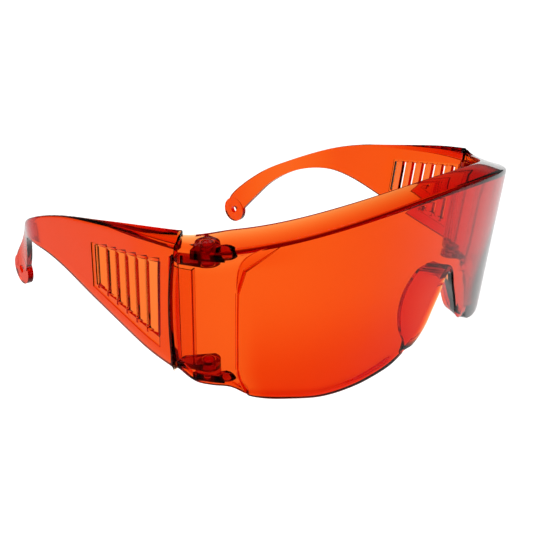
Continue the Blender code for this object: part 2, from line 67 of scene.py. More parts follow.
# The brow: crease and shelf
BROW_Z = 46.2
BROW_ARCH = 9.3
SHELF_WIDTH = 9.2
SHELF_END_WIDTH = 4.4
SHELF_RISE = 1.6
SHELF_SIDE_RISE = 1.8
SHELF_TAPER_START = 60.0
SHELF_EDGE = 1.1  # the shelf's thickness at its rear edge
SHELF_EDGE_ROUND = 0.2  # share of that edge where its upper corner is rounded
CREASE_RADIUS = 1.1
CREASE_SIDE_RADIUS = 3.0
CREASE_WIDENS_AT = 58.0
CREASE_WIDENS_OVER = 16.0

# The lower rim
RIM_BEAD = 0.7
RIM_BEAD_HEIGHT = 2.6
RIM_BEAD_FADE = 5.0
RIM_ROUND = 0.5
RIM_CHAMFER = 0.13
RIM_BACK_ROUND = 0.4
LOWER_EDGE = (  # (degrees, z)
    (13.3, 7.0), (15.2, 5.4), (17.1, 4.1), (20.0, 2.9), (27.0, 0.95), (36.0, 0.05), (45.0, 1.2),
    (51.0, 2.1), (56.0, 3.5), (60.5, 6.0), (66.0, 6.4), (70.6, 6.9), (73.5, 8.2), (77.0, 10.4),
)

# The nose opening and its flange
NOSE_WALL = 1.9
NOSE_ROUND = 0.5  # how far the opening's front edge is rounded back
NOSE_FOOT = 0.85  # place along the opening where the flange starts to run out into the lower edge
NOSE_FOOT_LENGTH = 0.15
NOSE_LOOK = 0.02  # distance along the opening over which its direction is measured
NOSE_NARROWEST = 0.25  # least share of its half width that the flange leaves open
NOSE_FRONT = (  # (x, z)
    (0.0, 29.7), (2.6, 27.5), (4.8, 22.5), (7.2, 18.0), (10.2, 12.2), (13.6, 9.0), (17.6, 7.0),
)
NOSE_REAR = (  # (x, y, z)
    (0.0, -70.8, 28.5), (5.0, -70.2, 27.4), (10.2, -69.8, 22.6), (12.8, -69.9, 16.8), (14.0, -71.0, 11.6),
    (15.5, -73.0, 9.2), (17.4, -73.6, 7.2),
)

# The raised front panel
PANEL_EDGE_ANGLE = 59.0  # where the raised panel ends
PANEL_STEP = 0.55  # how far the side panel lies behind it
PANEL_STEP_WIDTH = 0.35
PANEL_BACK_STEP = 0.8  # share of the step that the inner face follows
PANEL_RIB = 2.2  # height of the thin rib inside that edge
PANEL_RIB_AT = 0.2  # degrees from the edge to the rib
PANEL_RIB_SPREAD = 0.36  # degrees that it spreads to each side
PANEL_FADE_START = 4.5  # distance under the crease where the step starts to fade
PANEL_FADE = 3.5
PANEL_BEND_REACH = 24.0  # degrees over which the columns follow the panel's edge
PANEL_EDGE = (  # (z, degrees)
    (3.0, 55.4), (6.0, 57.2), (10.0, 58.7), (15.0, 59.0), (38.0, 59.0), (42.0, 58.6), (44.5, 57.4),
    (46.2, 55.4), (47.4, 52.6), (48.6, 48.5),
)

# Columns and rows of the front's mesh. Rows are shares of a stretch: the outer wall from its foot to the
# crease, the crease, the shelf's top, the shelf's underside, and the inner wall from the shelf to its foot.
NOSE_STEPS = 30
LENS_COLUMNS = 36
LENS_SPACING = 1.1
LENS_END = 1.6  # degrees from the last of them to the panel's edge
EDGE_COLUMNS = (-0.9, -0.4, -0.15, 0.0, 0.18, 0.35, 0.6, 1.2)
SIDE_COLUMNS = 16
BEND_PASSES = 4
OUTER_ROWS = (
    0.0, 0.03, 0.08, 0.15, 0.22, 0.3, 0.38, 0.46, 0.54, 0.62, 0.7, 0.76, 0.81, 0.85, 0.885, 0.915, 0.94,
    0.965, 0.985, 1.0,
)
CREASE_ROWS = (0.2, 0.4, 0.6, 0.8, 1.0)
SHELF_ROWS = (0.3, 0.6, 0.9)
UNDERSIDE_ROWS = (0.0, 0.3, 0.7, 1.0)
INNER_ROWS = (0.15, 0.3, 0.45, 0.6, 0.72, 0.82, 0.9, 0.95, 0.98, 1.0)
INNER_BEND = 0.2  # share of the inner wall over which it takes up the panel's bend

# The temples: wall, plan and outline
TEMPLE_WALL = 2.2
TEMPLE_X = 77.3
TEMPLE_FLARE_Y = -27.2
TEMPLE_FLARE = 0.0062
TEMPLE_DRAW_IN = 1.8
TEMPLE_REAR_Y = 76.6
TEMPLE_LEAN_Y = -41.0  # from here back the blade's lean fades
TEMPLE_LEAN_FADE = 80.0
HOOK_START_Y = 24.0
HOOK_END_Y = 78.0
HOOK_DRAW_IN = 16.2
TEMPLE_COLUMNS = 110
JOINT_TO_LAST_Y = 14.0  # least distance from the joint to the last section, which keeps the sections in order
TEMPLE_LOWER_EDGE = (  # (y, z)
    (-44.0, 9.6), (-27.7, 14.2), (-5.9, 21.8), (14.3, 29.0), (29.0, 31.3), (43.0, 29.3), (54.8, 22.9),
    (64.0, 13.6), (70.6, 6.6),
)
TEMPLE_UPPER_EDGE = (  # (y, z)
    (-44.0, 47.1), (-29.0, 47.2), (-10.0, 46.2), (10.0, 44.3), (28.0, 40.3), (46.0, 33.7), (60.8, 26.4),
    (76.4, 14.2), (80.4, 6.8),
)
OUTER_BLADE_ROWS = (0.1, 0.2, 0.3, 0.4, 0.5, 0.6, 0.7, 0.8, 0.9, 0.97)
INNER_BLADE_ROWS = (0.85, 0.7, 0.55, 0.4, 0.25, 0.12)
BLADE_EDGE_BEVEL = 0.12
BLADE_EDGE_ROUND = 0.4

# The flange along the temple's top, and the lip that hangs from its inner edge. The pairs are heights over
# the blade's upper edge, where the flange has faded out and where it is full.
FLANGE_START_Y = -43.0
FLANGE_END_Y = 8.0
FLANGE_FADE = 1.5
FLANGE_IN = 4.6
FLANGE_UP = 3.4
TOP_ROUND = 0.5
TOP_CORNER = (  # (inset, height over the blade's upper edge)
    (0.05, 0.0), (0.25, TOP_ROUND * 0.75),
)
FLANGE_TOP_START = 0.5  # inset of the flat top's outer edge
FLANGE_TOP_END = 0.6  # how far the flat top ends short of the flange's inner edge
FLANGE_CHAMFER = 0.15
RIDGE_HEIGHT = 0.3
RIDGE = (  # (share of the way across, share of the height)
    (0.0, 0.0), (0.28, 0.0), (0.34, 1.0), (0.58, 1.0), (0.64, 0.0), (1.0, 0.0),
)
FLANGE_TOP_CORNER = (0.25, FLANGE_UP - 0.25)
FLANGE_INNER_CORNER = (0.0, FLANGE_UP - 0.7)
FLANGE_UNDERSIDE = (-0.3, FLANGE_UP - 2.6)
BLADE_INNER_CORNER = (-0.4, -1.8)
LIP_HEIGHT = 5.2
LIP_WALL = 1.3
LIP_FADE = 4.0  # the lip thins out where the flange is down to 1 / LIP_FADE of its reach
LIP_SHARE = 0.9  # most of the flange's overhang that the lip may fill
LIP_OUTER_FOOT = (-0.2, FLANGE_UP - LIP_HEIGHT)
LIP_INNER_FOOT = (-0.25, FLANGE_UP - LIP_HEIGHT)

# The temple's front end: post, dark strip of painted edge shade, and tongue
POST_DEPTH = 1.5
POST_SHORT = 0.4  # how far the post stops short of the arms' faces
POST_PROFILE = (  # (x, y) from the joint's outer corner
    (-4.4, 0.5), (-1.1, 0.5), (-1.0, POST_DEPTH), (-4.0, POST_DEPTH), (-4.4, POST_DEPTH - 0.4),
)
EDGE_STRIP_Z = (10.4, 44.8)
EDGE_STRIP_STEPS = 16
EDGE_STRIP_DEPTH = (0.3, 1.9)
EDGE_STRIP_START = 0.15
EDGE_STRIP_END = 0.9
TONGUE_REACH = 4.6
TONGUE_WALL = 0.35
TONGUE_BEAD = 1.6
TONGUE_GAP = 0.4
TONGUE_Z = (12.0, 41.0)
TONGUE_STATIONS = (  # (share of the reach, thickness)
    (0.0, TONGUE_WALL), (0.3, TONGUE_WALL), (0.6, TONGUE_WALL), (0.85, TONGUE_WALL), (0.93, TONGUE_BEAD),
    (1.0, TONGUE_BEAD),
)
TONGUE_ROOT_IN = 3.5
TONGUE_ROOT_BACK = 2.0

# The ear tip
PADDLE_CENTRE = (75.88, 6.1)  # (y, z)
PADDLE_RADIUS = 6.1
PADDLE_WALL = 2.26
PADDLE_SIDES = 64
CORD_HOLE_RADIUS = 1.6
CORD_HOLE_SIDES = 40
CORD_CUTTER_LENGTH = 20.0

# The louvred vent
LOUVRE_COUNT = 6
LOUVRE_PITCH = 4.68
LOUVRE_LENGTH = 4.3
LOUVRE_WALL = 1.5
LOUVRE_TURN = 22.0
LOUVRE_START = 1.25  # how far each slat starts behind the front of its share of the vent
LOUVRE_SUNK = 0.05  # how far the slats stay behind the outer face
LOUVRE_ROUND = 0.15
LOUVRE_ROWS = (-0.03, 0.15, 0.3, 0.45, 0.6, 0.75, 0.9, 1.04)
VENT_FRONT_Y = -37.3
VENT_TOP = (41.7, 40.0)  # height at its front and rear
VENT_BOTTOM = (19.0, 27.0)
VENT_LEAN = 0.12
VENT_REAR_GAP = 0.2  # room behind the last slat, in slats
VENT_STEP_REAR = 0.1  # how far the lower edge dips at each slat's rear
VENT_STEP_FRONT = 0.45  # how far it rises at each slat's front
VENT_STEP_RUN = 0.1  # length of each step
VENT_CUTTER_X = (84.0, 66.0)
RECESS_DEPTH = 0.35
RECESS_SPAN = (-0.16, LOUVRE_COUNT + 0.5)  # in slats
RECESS_STEPS = 16
RECESS_ROWS = (-0.05, 0.2, 0.4, 0.6, 0.8, 1.12)
RECESS_CUTTER = 3.0

# The hinges. Heights are along the hinge axis, from where it meets z = 0.
HINGE = Vector((67.3, -47.0, 46.0))
AXIS = Vector((TAPER, -LEAN, 1.0)).normalized()
HINGE_FOOT = HINGE - AXIS * (HINGE.z / AXIS.z)
# The height of each lug's lower face, and the side of it that its arm is on: 1 above, -1 below
HINGE_LEVELS = {"upper": (44.4, -1), "lower": (7.6, 1)}
LUG_HEIGHT = 2.2
LUG_GAP = 0.3
LUG_ROOT = WALL * 0.9  # inset of a lug's outer edge, within the wall
LUG_OUTER = (62.5, 64.0, 66.0, 69.0, 72.5)
LUG_INNER = ((64.0, WALL + 2.6), (62.5, WALL + 1.6))  # (degrees, inset)
LUG_EYE = (20, 218)
ARM_EYE = (165, 345)
EYE_RADIUS = 3.3
EYE_STEP = 9
BORE_RADIUS = 2.0
BORE_SPARE = 0.4
ARM_ROOT = (  # (inset, distance behind the joint)
    (3.2, 0.2), (1.1, 1.0), (1.1, POST_DEPTH), (6.0, POST_DEPTH),
)
GUSSET = (  # (degrees, half depth, half height) from its root to its tip
    (65.0, 1.2, 0.95), (63.6, 1.3, 1.4), (62.2, 1.3, 1.7), (61.0, 1.1, 1.5), (60.1, 0.8, 1.1),
    (59.5, 0.45, 0.6), (59.2, 0.15, 0.2),
)
GUSSET_SIDES = 20
PIN_RADIUS = 1.7
PIN_CAP = 0.45
PIN_CAP_TURNS = (0.0, 0.5, 1.0, 1.35)
PIN_SIDES = 40

# Shading
SHARP_ANGLE = 32.0
PIN_SHARP_ANGLE = 50.0
WELD_DISTANCE = 0.0005

# The plastic. Its colour comes from absorption, per metre.
TINT = (0.95, 0.507, 0.01)
# darker copy of TINT for the hinges' lugs and arms, painted shade for the deeper look of thick plastic
HINGE_SHADE_TINT = (0.87, 0.45, 0.2)
# near-black absorption for the strip in the temples' front edges, painted shade for plastic seen edge on
EDGE_SHADE_TINT = (0.4, 0.1, 0.1)
TINT_DENSITY = 2200.0
SHELL_IOR = 1.43
HINGE_IOR = 1.58
SMALL_PART_IOR = 1.5
HAZE_DETAIL = 4.0
HAZE_RANGE = (0.35, 0.75)
HAZE_ROUGHENS = 2.5
HAZE_DARKEST = 0.95
RIPPLE_SCALE = 45.0
RIPPLE_STRENGTH = 0.04
RIPPLE_DEPTH = 0.0004

# Light and floor, in metres
WORLD_STRENGTH = 1.05
SKY = (  # (height, level) of the light from above
    (0.1, 1.0), (0.2, 0.3), (0.6, 0.2), (0.8, 0.5), (1.0, 1.0),
)
REFLECTED_SKY = 0.1  # strength of the sky in what shiny surfaces mirror
FLOOR_GLOW = 1.01
FLOOR_GREY = 0.35
FLOOR_ROUGHNESS = 0.9
FLOOR_RADIUS = 30.0
FLOOR_SIDES = 96
FLOOR_DROP = 0.0075  # room for the ear tips, which come lower when the temples are folded
REFLECTED_GLOW = (0.3, 0.75)  # what shiny surfaces mirror of it at -X and at +X, as beside dark cards
REFLECTED_EDGE = 0.1  # distance from the middle where these levels are reached
LIGHT_AIM = (0.0, 0.0, 0.02)
LIGHT_POWER = 1.5
KEY_PLACE = (-0.5, -0.35, 0.7)
KEY_SIZE = 0.5
FILL_PLACE = (0.15, 0.1, 1.1)
FILL_SIZE = 0.6

# The camera, in metres
CAMERA_SENSOR = 36.0
CAMERA_LENS = 47.28
CAMERA_CLIP = (0.01, 100.0)
CAMERA_PLACE = Vector((-179.108, -176.373, 104.198)) * MM
CAMERA_RIGHT = Vector((0.69350311, -0.72039124, -0.00948117))
CAMERA_UP = Vector((0.25919582, 0.23719946, 0.93624459))
CAMERA_BACK = Vector((-0.67221348, -0.65174602, 0.35122096))


# ---------------------------------------------------------------- curves


def between(a, b, t):
    """Value at t of the way from a to b."""
    return a + (b - a) * t


def soft_step(t):
    """Smooth step from 0 to 1 while t goes from 0 to 1."""
    t = min(max(t, 0.0), 1.0)
    return t * t * (3.0 - 2.0 * t)


def smooth_between(start, start_slope, end, end_slope, t):
    """Value at t of the cubic with these ends and slopes."""
    return (
        start * (2 * t**3 - 3 * t**2 + 1)
        + start_slope * (t**3 - 2 * t**2 + t)
        + end * (3 * t**2 - 2 * t**3)
        + end_slope * (t**3 - t**2)
    )


def spline(points, u):
    """Point at u, from 0 to 1, of a Catmull-Rom curve through points."""
    last = len(points) - 1
    index = min(int(u * last), last - 1)
    p1 = Vector(points[index])
    p2 = Vector(points[index + 1])
    p0 = Vector(points[index - 1]) if index else p1 * 2 - p2
    p3 = Vector(points[index + 2]) if index + 2 <= last else p2 * 2 - p1
    return smooth_between(p1, (p2 - p0) / 2, p2, (p3 - p1) / 2, u * last - index)


def slope_at(points, index):
    """Slope of a line of (x, value) points at one of them."""
    x0, z0 = points[max(index - 1, 0)]
    x1, z1 = points[min(index + 1, len(points) - 1)]
    return (z1 - z0) / (x1 - x0)


def value_along(points, x):
    """Value at x of a smooth line through (x, value) points."""
    x = min(max(x, points[0][0]), points[-1][0])
    index = sum(1 for point in points[1:-1] if x > point[0])
    x0, z0 = points[index]
    x1, z1 = points[index + 1]
    width = x1 - x0
    start_slope = slope_at(points, index) * width
    end_slope = slope_at(points, index + 1) * width
    return smooth_between(z0, start_slope, z1, end_slope, (x - x0) / width)


def lens_point(angle, z, inset=0.0):
    """Point of the lens's face, angle degrees round from the middle of the front and moved in by inset."""
    drop = REFERENCE_Z - z
    half_width = WRAP_HALF_WIDTH - TAPER * drop
    a = math.radians(angle)
    normal = Vector((math.sin(a) / half_width, -math.cos(a) / WRAP_DEPTH)).normalized()
    x = half_width * math.sin(a) - normal.x * inset
    y = WRAP_CENTRE_Y + LEAN * drop - WRAP_DEPTH * math.cos(a) - normal.y * inset
    return Vector((x, y, z))


def angle_of(x):
    """Degrees round the plan ellipse at x."""
    return math.degrees(math.asin(x / WRAP_HALF_WIDTH))


def temple_x(y, z):
    """x of the temple's outer face."""
    x = TEMPLE_X
    if y < TEMPLE_FLARE_Y:
        x -= TEMPLE_FLARE * (y - TEMPLE_FLARE_Y) ** 2
    else:
        x -= TEMPLE_DRAW_IN * (y - TEMPLE_FLARE_Y) / (TEMPLE_REAR_Y - TEMPLE_FLARE_Y)
    x -= HOOK_DRAW_IN * soft_step((y - HOOK_START_Y) / (HOOK_END_Y - HOOK_START_Y))
    fade = 1.0 - soft_step((y - TEMPLE_LEAN_Y) / TEMPLE_LEAN_FADE)
    return x - TAPER * max(REFERENCE_Z - z, 0.0) * fade


def joint_bow(z):
    """Degrees that the front's rear edge is bowed back at height z."""
    return JOINT_BOW * max(1.0 - ((z - JOINT_BOW_Z) / JOINT_BOW_REACH) ** 2, 0.0)


def joint_y(z, inset=0.0):
    """y of the temple's front edge."""
    return lens_point(JOINT_ANGLE + joint_bow(z), z, inset).y + JOINT_GAP


# ---------------------------------------------------------------- meshes


def new_piece(name, bm, side=1.0):
    """Object from a mesh in millimetres, mirrored to the other side if side is -1."""
    if side < 0:
        bmesh.ops.scale(bm, verts=bm.verts, vec=(-1.0, 1.0, 1.0))
        bmesh.ops.reverse_faces(bm, faces=bm.faces)
    bmesh.ops.scale(bm, verts=bm.verts, vec=(MM, MM, MM))
    mesh = bpy.data.meshes.new(name)
    bm.to_mesh(mesh)
    bm.free()
    obj = bpy.data.objects.new(name, mesh)
    bpy.context.scene.collection.objects.link(obj)
    return obj


def closed_loft(sections):
    """Closed body through closed sections, with a cap at each end."""
    bm = bmesh.new()
    rows = [[bm.verts.new(point) for point in section] for section in sections]
    for left, right in zip(rows, rows[1:]):
        for index in range(len(left)):
            following = (index + 1) % len(left)
            bm.faces.new((left[index], right[index], right[following], left[following]))
    bm.faces.new(rows[0])
    bm.faces.new(rows[-1][::-1])
    bmesh.ops.remove_doubles(bm, verts=bm.verts, dist=WELD_DISTANCE)
    bmesh.ops.triangulate(bm, faces=bm.faces)
    bmesh.ops.recalc_face_normals(bm, faces=bm.faces)
    return bm


def hinge_prism(points, bottom, top):
    """Closed prism along the hinge axis between two heights, with ends square to the axis."""
    level = [p - AXIS * (p - HINGE_FOOT).dot(AXIS) for p in points]
    return closed_loft([[p + AXIS * height for p in level] for height in (bottom, top)])


def cylinder(radius, centre, direction, length, sides=48):
    """Closed cylinder round centre, along direction."""
    bm = bmesh.new()
    turn = direction.to_track_quat("Z", "Y").to_matrix().to_4x4()
    bmesh.ops.create_cone(
        bm,
        cap_ends=True,
        segments=sides,
        radius1=radius,
        radius2=radius,
        depth=length,
        matrix=Matrix.Translation(centre) @ turn,
    )
    return bm


def combine(obj, tools):
    """Joins or cuts obj with (object, operation) tools, and keeps only the result."""
    for tool, operation in tools:
        modifier = obj.modifiers.new("shape", "BOOLEAN")
        modifier.object = tool
        modifier.operation = operation
        modifier.solver = "EXACT"
    bpy.context.view_layer.update()
    evaluated = obj.evaluated_get(bpy.context.evaluated_depsgraph_get())
    mesh = bpy.data.meshes.new_from_object(evaluated)
    obj.modifiers.clear()
    obj.data = mesh
    for tool, _ in tools:
        bpy.data.objects.remove(tool, do_unlink=True)


def finish_piece(obj, body, nodes, material, sharp_angle=SHARP_ANGLE):
    """Smooth shading, material, body and the CAD nodes that the piece stands for."""
    obj.data.materials.clear()
    obj.data.materials.append(material)
    for polygon in obj.data.polygons:
        polygon.use_smooth = True
    obj.data.set_sharp_from_angle(angle=math.radians(sharp_angle))
    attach(obj, body)
    if nodes:
        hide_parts(*nodes)


# ---------------------------------------------------------------- the front


def panel_angle(column, z):
    """Angle of a column of the lens at height z. Columns bend to follow the raised panel's edge."""
    reach = abs(column) - PANEL_EDGE_ANGLE
    spread = PANEL_BEND_REACH if reach < 0 else JOINT_ANGLE - PANEL_EDGE_ANGLE
    follow = 1.0 - soft_step(abs(reach) / spread)
    shift = (value_along(PANEL_EDGE, z) - PANEL_EDGE_ANGLE) * follow
    shift += joint_bow(z) * soft_step(reach / spread)
    return math.copysign(abs(column) + shift, column)


def front_profile(column):
    """Crease height, shelf width, shelf rise and crease radius at a column."""
    side = abs(column)
    crease = BROW_Z + BROW_ARCH * math.cos(math.radians(side)) ** 3
    narrowing = (side - SHELF_TAPER_START) / (JOINT_ANGLE - SHELF_TAPER_START)
    width = between(SHELF_WIDTH, SHELF_END_WIDTH, soft_step(narrowing))
    rise = SHELF_RISE + SHELF_SIDE_RISE * math.sin(math.radians(side)) ** 2
    widening = soft_step((side - CREASE_WIDENS_AT) / CREASE_WIDENS_OVER)
    return crease, width, rise, between(CREASE_RADIUS, CREASE_SIDE_RADIUS, widening)


def nose_ring(u):
    """The nose flange's corners at u of its opening: front inner, rear inner, front outer, rear outer."""
    x, z = spline(NOSE_FRONT, u)
    rear = spline(NOSE_REAR, u)
    ahead = spline(NOSE_FRONT, min(u + NOSE_LOOK, 1.0))
    behind = spline(NOSE_FRONT, max(u - NOSE_LOOK, 0.0))
    along = (ahead - behind).normalized()
    away = Vector((-along.y, along.x)) * (NOSE_WALL / 2)
    if u == 0.0:
        away = Vector((0.0, NOSE_WALL / 2))
    inward = away * (1.0 - soft_step((u - NOSE_FOOT) / NOSE_FOOT_LENGTH))
    front_in = (max(x - inward.x, NOSE_NARROWEST * x), z - inward.y)
    rear_in = Vector((max(rear.x - inward.x, NOSE_NARROWEST * rear.x), rear.y, rear.z - inward.y))
    return front_in, rear_in, (x + away.x, z + away.y), Vector((rear.x + away.x, rear.y, rear.z + away.y))


def lower_wall(column, z):
    """How much thicker the lens is low down, at +X."""
    fade = 1.0 - soft_step((column - LOWER_WALL_SIDE) / LOWER_WALL_FADE)
    return LOWER_WALL * soft_step((LOWER_WALL_TOP - z) / LOWER_WALL_TOP) * fade


def bent_foot(column):
    """Angle and height of the lower edge on a column, which bends with the raised panel's edge."""
    angle = column
    for _ in range(BEND_PASSES):
        foot = value_along(LOWER_EDGE, angle)
        angle = panel_angle(column, foot)
    return angle, foot


def bent_crease(column):
    """Angle of the crease on a column, which bends with the raised panel's edge."""
    angle = column
    for _ in range(BEND_PASSES):
        angle = panel_angle(column, front_profile(angle)[0])
    return angle


def side_foot(column, step):
    """Foot of a column beside the nose: heights and turns of both faces, bead, and the rim's points."""
    low, foot = bent_foot(column)
    bead = RIM_BEAD * soft_step((column - angle_of(NOSE_FRONT[-1][0])) / RIM_BEAD_FADE)
    rim_wall = WALL + PANEL_BACK_STEP * step + bead + lower_wall(column, foot)
    rim = [
        lens_point(low, foot + RIM_CHAMFER, step + RIM_CHAMFER),
        lens_point(low, foot, step + RIM_ROUND),
        lens_point(low, foot, rim_wall - RIM_BACK_ROUND),
    ]
    return foot + RIM_ROUND, foot + RIM_ROUND, 0.0, 0.0, bead, rim


def nose_foot(column, u):
    """Foot of a column over the nose opening, with the same values as side_foot."""
    (in_x, in_z), rear_in, (out_x, out_z), rear_out = nose_ring(u)
    turn_out = angle_of(in_x) - column
    turn_in = angle_of(out_x) - column
    front_in = lens_point(column + turn_out, in_z)
    return in_z, out_z, turn_out, turn_in, 0.0, [between(front_in, rear_in, 0.5), rear_in, rear_out]


def panel_fade(z, crease):
    """Share of the panel's step that is left at height z, which fades out under the crease."""
    return 1.0 - soft_step((z - crease + PANEL_FADE_START) / PANEL_FADE)


def front_section(column, u):
    """One closed section of the front, at +X. u is its place along the nose opening, or None beside it."""
    brow = bent_crease(column)
    crease, width, rise, radius = front_profile(brow)
    slope = Vector((width, rise)).normalized()
    round_start = crease - radius
    round_in = slope.x * radius
    round_end = crease + slope.y * radius
    shelf_top = crease + rise
    inner_corner = crease - WALL * slope.x + WALL * (1.0 - slope.y) * slope.y / slope.x
    inner_end = shelf_top - SHELF_EDGE
    step = PANEL_STEP * soft_step((column - PANEL_EDGE_ANGLE) / PANEL_STEP_WIDTH)
    foot = side_foot(column, step) if u is None else nose_foot(column, u)
    outer_z, inner_z, turn_out, turn_in, bead, rim = foot
    edge_round = 0.0 if u is None else NOSE_ROUND
    rib_reach = abs(column - PANEL_EDGE_ANGLE - PANEL_RIB_AT) / PANEL_RIB_SPREAD
    rib = PANEL_RIB * max(1.0 - rib_reach, 0.0) ** 0.5

    points = []
    for t in OUTER_ROWS:
        z = between(outer_z, round_start, t)
        rounding = edge_round * max(1.0 - t / OUTER_ROWS[1], 0.0)
        angle = panel_angle(column, z) + turn_out * (1.0 - t) ** 2
        points.append(lens_point(angle, z, step * panel_fade(z, crease) + rounding))
    for t in CREASE_ROWS:
        turn = t * math.pi / 2
        z = between(round_start, round_end, math.sin(turn))
        angle = between(panel_angle(column, round_start), brow, t)
        points.append(lens_point(angle, z, round_in * (1.0 - math.cos(turn))))
    for t in SHELF_ROWS:
        points.append(lens_point(brow, between(round_end, shelf_top, t), between(round_in, width, t)))
    points.append(lens_point(brow, between(shelf_top, inner_end, SHELF_EDGE_ROUND), width))
    for t in UNDERSIDE_ROWS:
        points.append(lens_point(brow, between(inner_end, inner_corner, t), between(width, WALL, t)))
    for t in INNER_ROWS:
        z = between(inner_corner, inner_z, t)
        inset = WALL + (PANEL_BACK_STEP * step + rib) * panel_fade(z, crease)
        inset += bead * (1.0 - soft_step((z - inner_z) / RIM_BEAD_HEIGHT))
        inset += lower_wall(column, z)
        angle = between(brow, panel_angle(column, z), soft_step(t / INNER_BEND))
        points.append(lens_point(angle + turn_in * t * t, z, inset))
    return points + rim[::-1]


def front_columns():
    """(degrees, place along the nose opening) of the front's sections at +X, from the middle out."""
    columns = []
    for step in range(1, NOSE_STEPS + 1):
        u = step / NOSE_STEPS
        columns.append((angle_of(spline(NOSE_FRONT, u).x), u))
    start = columns[-1][0]
    end = PANEL_EDGE_ANGLE - LENS_END
    side = PANEL_EDGE_ANGLE + EDGE_COLUMNS[-1]
    shares = [(step / LENS_COLUMNS) ** LENS_SPACING for step in range(1, LENS_COLUMNS + 1)]
    beside = [between(start, end, share) for share in shares]
    beside += [PANEL_EDGE_ANGLE + offset for offset in EDGE_COLUMNS]
    beside += [between(side, JOINT_ANGLE, step / SIDE_COLUMNS) for step in range(1, SIDE_COLUMNS + 1)]
    return columns + [(angle, None) for angle in beside]


def make_front(material):
    """Lens, brow shelf, side panels and nose flange in one loft."""
    half = [front_section(column, u) for column, u in front_columns()]
    mirrored = [[Vector((-p.x, p.y, p.z)) for p in section] for section in half[::-1]]
    middle = [Vector((0.0, p.y, p.z)) for p in front_section(0.0, 0.0)]
    obj = new_piece("front_shell", closed_loft(mirrored + [middle] + half))
    finish_piece(obj, "front", ["lens_front"], material)


# ---------------------------------------------------------------- the hinges


def eye_outline(centre, first, last):
    """Part of a hinge eye's circle, between two angles."""
    angles = [math.radians(degrees) for degrees in range(first, last + 1, EYE_STEP)]
    return [centre + Vector((math.cos(a), math.sin(a), 0.0)) * EYE_RADIUS for a in angles]


def lug_body(height):
    """Lug inside the side panel, with a round eye on the hinge axis."""
    middle = height + LUG_HEIGHT / 2
    outer = [lens_point(angle, middle, LUG_ROOT) for angle in LUG_OUTER]
    inner = [lens_point(angle, middle, inset) for angle, inset in LUG_INNER]
    eye = eye_outline(HINGE_FOOT + AXIS * middle, *LUG_EYE)
    return hinge_prism(outer + eye + inner, height, height + LUG_HEIGHT)


def gusset_body(height):
    """Leaf-shaped root that ties a lug to the side panel, ahead of the arm's swing."""
    middle = height + LUG_HEIGHT / 2
    sections = []
    for angle, half_depth, half_height in GUSSET:
        section = []
        for step in range(GUSSET_SIDES):
            turn = math.tau * step / GUSSET_SIDES
            inset = LUG_ROOT + half_depth * (1.0 + math.cos(turn))
            section.append(lens_point(angle, middle + half_height * math.sin(turn), inset))
        sections.append(section)
    return closed_loft(sections)


def bore_body(height, side):
    """Cutter for the bore through a lug and its arm."""
    middle = height + LUG_HEIGHT / 2 + side * (LUG_HEIGHT + LUG_GAP)
    return cylinder(BORE_RADIUS, HINGE_FOOT + AXIS * middle, AXIS, 3 * (LUG_HEIGHT + LUG_GAP) + BORE_SPARE)


def arm_body(height, side):
    """Arm from the temple's front edge to its eye on the hinge axis."""
    bottom = height + side * (LUG_HEIGHT + LUG_GAP)
    middle = bottom + LUG_HEIGHT / 2
    centre = HINGE_FOOT + AXIS * middle
    y = joint_y(centre.z)
    x = temple_x(y, centre.z)
    root = [Vector((x - inset, y + back, middle)) for inset, back in ARM_ROOT]
    return hinge_prism(eye_outline(centre, *ARM_EYE) + root, bottom, bottom + LUG_HEIGHT)


def pin_cap(end, away):
    """(radius, height) of a pin's rounded end, from its rim to its middle."""
    return [(PIN_RADIUS * math.cos(t), end + away * PIN_CAP * math.sin(t)) for t in PIN_CAP_TURNS]


def pin_body(height, side):
    """Hinge pin with rounded ends, through a lug and its arm."""
    arm_end = height + side * (LUG_HEIGHT + LUG_GAP) + (LUG_HEIGHT if side > 0 else 0.0)
    lug_end = height + (LUG_HEIGHT if side < 0 else 0.0)
    across = (Vector((0.0, 1.0, 0.0)).cross(AXIS)).normalized()
    upright = AXIS.cross(across)
    turns = [math.tau * step / PIN_SIDES for step in range(PIN_SIDES)]
    sections = []
    for radius, along in pin_cap(arm_end, side)[::-1] + pin_cap(lug_end, -side):
        centre = HINGE_FOOT + AXIS * along
        sections.append([centre + (across * math.cos(a) + upright * math.sin(a)) * radius for a in turns])
    return closed_loft(sections)


def make_hinges(material, pin_material):
    """Lugs, arms and pins of the four hinges. Lugs and arms take a darker copy of the plastic's tint, painted
    shade for the deeper look of thick plastic.
    """
    for level, (height, side) in HINGE_LEVELS.items():
        for hand, sign in (("left", 1.0), ("right", -1.0)):
            place = level + "_" + hand
            lug = new_piece("hinge_lug_" + place, lug_body(height), sign)
            gusset = new_piece("gusset", gusset_body(height), sign)
            bore = new_piece("bore", bore_body(height, side), sign)
            combine(lug, [(gusset, "UNION"), (bore, "DIFFERENCE")])
            finish_piece(lug, "front", [], material)
            arm = new_piece("hinge_arm_" + place, arm_body(height, side), sign)
            combine(arm, [(new_piece("bore", bore_body(height, side), sign), "DIFFERENCE")])
            finish_piece(arm, hand + "_temple", [], material)
            pin = new_piece("hinge_pin_shape_" + place, pin_body(height, side), sign)
            pin_node = "hinge_pin_" + place
            finish_piece(pin, "front", [pin_node], pin_material, PIN_SHARP_ANGLE)


# ---------------------------------------------------------------- the temples


